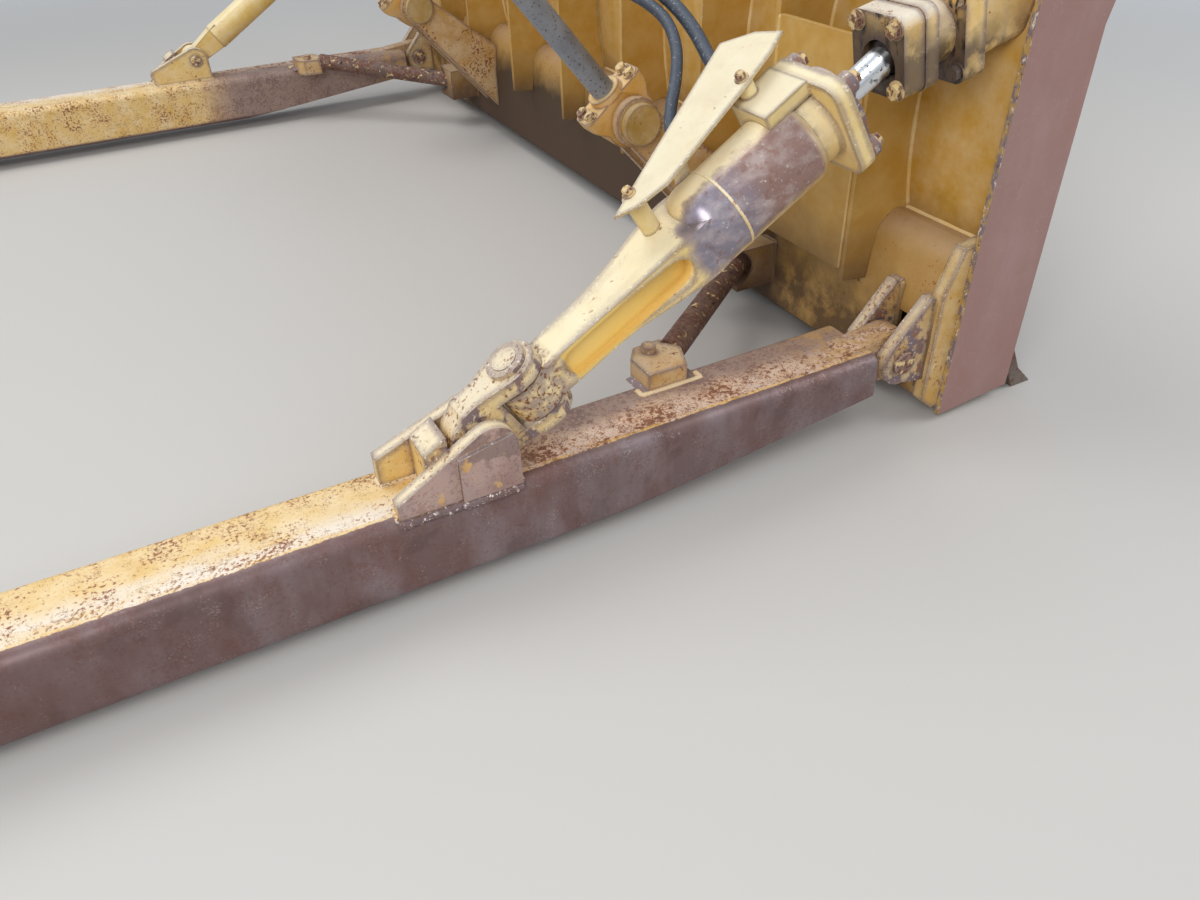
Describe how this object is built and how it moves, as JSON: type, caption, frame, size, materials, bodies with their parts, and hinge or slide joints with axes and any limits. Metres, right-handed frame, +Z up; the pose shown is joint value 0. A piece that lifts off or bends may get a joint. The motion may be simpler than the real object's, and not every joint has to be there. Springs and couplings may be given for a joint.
{
  "type": "dozer blade with push arms and cylinders",
  "caption": "Straight dozer blade with box-section push arms, a tilt cylinder, a screw brace, diagonal braces and lift cylinders.",
  "frame": {"origin": "centre of the rear trunnion bore of the right push arm", "axes": "+X forward along the push arms to the blade, +Y to the left across the blade, +Z up"},
  "size_m": [3.1038, 3.2, 1.7767],
  "materials": {
    "black_hose": "dusty",
    "yellow_paint": "worn, chipped and rust-freckled",
    "worn_plate": "paint worn off, brown steel",
    "scoured_steel": "scoured",
    "chrome_rod": "bright, spotted",
    "dark_rod": "dusty dark grey",
    "pin_steel": "greasy"
  },
  "bodies": {
    "right_arm": {"right_push_arm": "worn_plate", "right_trunnion_socket": "yellow_paint", "right_trunnion_cap": "yellow_paint", "right_tilt_lugs": "yellow_paint", "tilt_lug_pin": "pin_steel", "right_brace_bracket": "yellow_paint", "right_diagonal_brace": "pin_steel"},
    "blade": {"mouldboard": "scoured_steel", "lower_box_beam": "yellow_paint", "top_beam": "yellow_paint", "vertical_ribs": "yellow_paint", "rear_panels": "yellow_paint", "right_end_plate": "worn_plate", "left_end_plate": "worn_plate", "cutting_edge": "scoured_steel", "end_bits": "scoured_steel", "box_end_bars": "worn_plate", "push_arm_lugs": "yellow_paint", "front_pins": "pin_steel", "brace_ball_housings": "yellow_paint", "ball_seats": "yellow_paint", "ball_caps": "yellow_paint", "lift_ears": "yellow_paint", "lift_pins": "pin_steel"},
    "tilt_link": {"tilt_link": "yellow_paint", "fork_pin": "pin_steel"},
    "tilt_barrel": {"tilt_barrel": "yellow_paint", "tilt_gland": "yellow_paint", "tilt_gland_bolts": "yellow_paint", "hose_ports": "yellow_paint", "hose_guard": "yellow_paint", "tilt_hose_front": "black_hose", "tilt_hose_rear": "black_hose", "hose_couplings": "pin_steel"},
    "tilt_rod": {"tilt_rod": "chrome_rod"},
    "left_arm": {"left_push_arm": "worn_plate", "left_trunnion_socket": "yellow_paint", "left_trunnion_cap": "yellow_paint", "left_brace_lugs": "yellow_paint", "left_lug_pin": "pin_steel", "left_brace_bracket": "yellow_paint", "left_diagonal_brace": "pin_steel"},
    "screw_tube": {"screw_brace_tube": "yellow_paint"},
    "screw_rod": {"screw_brace_rod": "pin_steel"},
    "right_lift_rod": {"right_lift_rod": "dark_rod"},
    "left_lift_rod": {"left_lift_rod": "dark_rod"},
    "right_lift_barrel": {"right_lift_barrel": "yellow_paint"},
    "left_lift_barrel": {"left_lift_barrel": "yellow_paint"}
  },
  "joints": [
    {"name": "blade_pitch", "type": "hinge", "parent": "right_arm", "child": "blade", "pos_m": [2.6, -0.019, 0.047], "axis": [0, 1, 0], "range_deg": [-5, 5]},
    {"name": "link_swing", "type": "hinge", "parent": "right_arm", "child": "tilt_link", "pos_m": [1.685, -0.015, 0.16], "axis": [0, 1, 0], "range_deg": [-1.3, 1.3]},
    {"name": "barrel_swing", "type": "hinge", "parent": "tilt_link", "child": "tilt_barrel", "pos_m": [1.78382, -0.015, 0.22075], "axis": [-0.5237, 0, 0.8519], "range_deg": [-0.2, 0.2]},
    {"name": "rod_slide", "type": "slide", "parent": "tilt_barrel", "child": "tilt_rod", "axis": [0.8519, 0, 0.5237], "range_m": [-0.052, 0.052]},
    {"name": "left_arm_pitch", "type": "hinge", "parent": "blade", "child": "left_arm", "pos_m": [2.6, 2.989, 0.047], "axis": [0, 1, 0], "range_deg": [-4, 4]},
    {"name": "screw_tube_swing", "type": "hinge", "parent": "left_arm", "child": "screw_tube", "pos_m": [1.685, 2.985, 0.16], "axis": [0, 1, 0], "range_deg": [-1.1, 1.1]},
    {"name": "screw_travel", "type": "slide", "parent": "screw_tube", "child": "screw_rod", "axis": [0.8519, 0, 0.5237], "range_m": [-0.042, 0.042]},
    {"name": "right_lift_swing", "type": "hinge", "parent": "blade", "child": "right_lift_rod", "pos_m": [2.388, 0.713, 0.387], "axis": [0, 1, 0], "range_deg": [-10, 8]},
    {"name": "right_lift_stroke", "type": "slide", "parent": "right_lift_rod", "child": "right_lift_barrel", "axis": [-0.6334, 0, 0.7738], "range_m": [-0.5, 0.08]},
    {"name": "left_lift_swing", "type": "hinge", "parent": "blade", "child": "left_lift_rod", "pos_m": [2.388, 2.257, 0.387], "axis": [0, 1, 0], "range_deg": [-10, 8]},
    {"name": "left_lift_stroke", "type": "slide", "parent": "left_lift_rod", "child": "left_lift_barrel", "axis": [-0.6334, 0, 0.7738], "range_m": [-0.5, 0.08]}
  ],
  "couplings": [
    {"joint": "link_swing", "follows": "blade_pitch", "ratio": 0.25889},
    {"joint": "rod_slide", "follows": "blade_pitch", "m_per_rad": 0.57545},
    {"joint": "screw_tube_swing", "follows": "left_arm_pitch", "ratio": -0.25889},
    {"joint": "screw_travel", "follows": "left_arm_pitch", "m_per_rad": -0.57545}
  ]
}
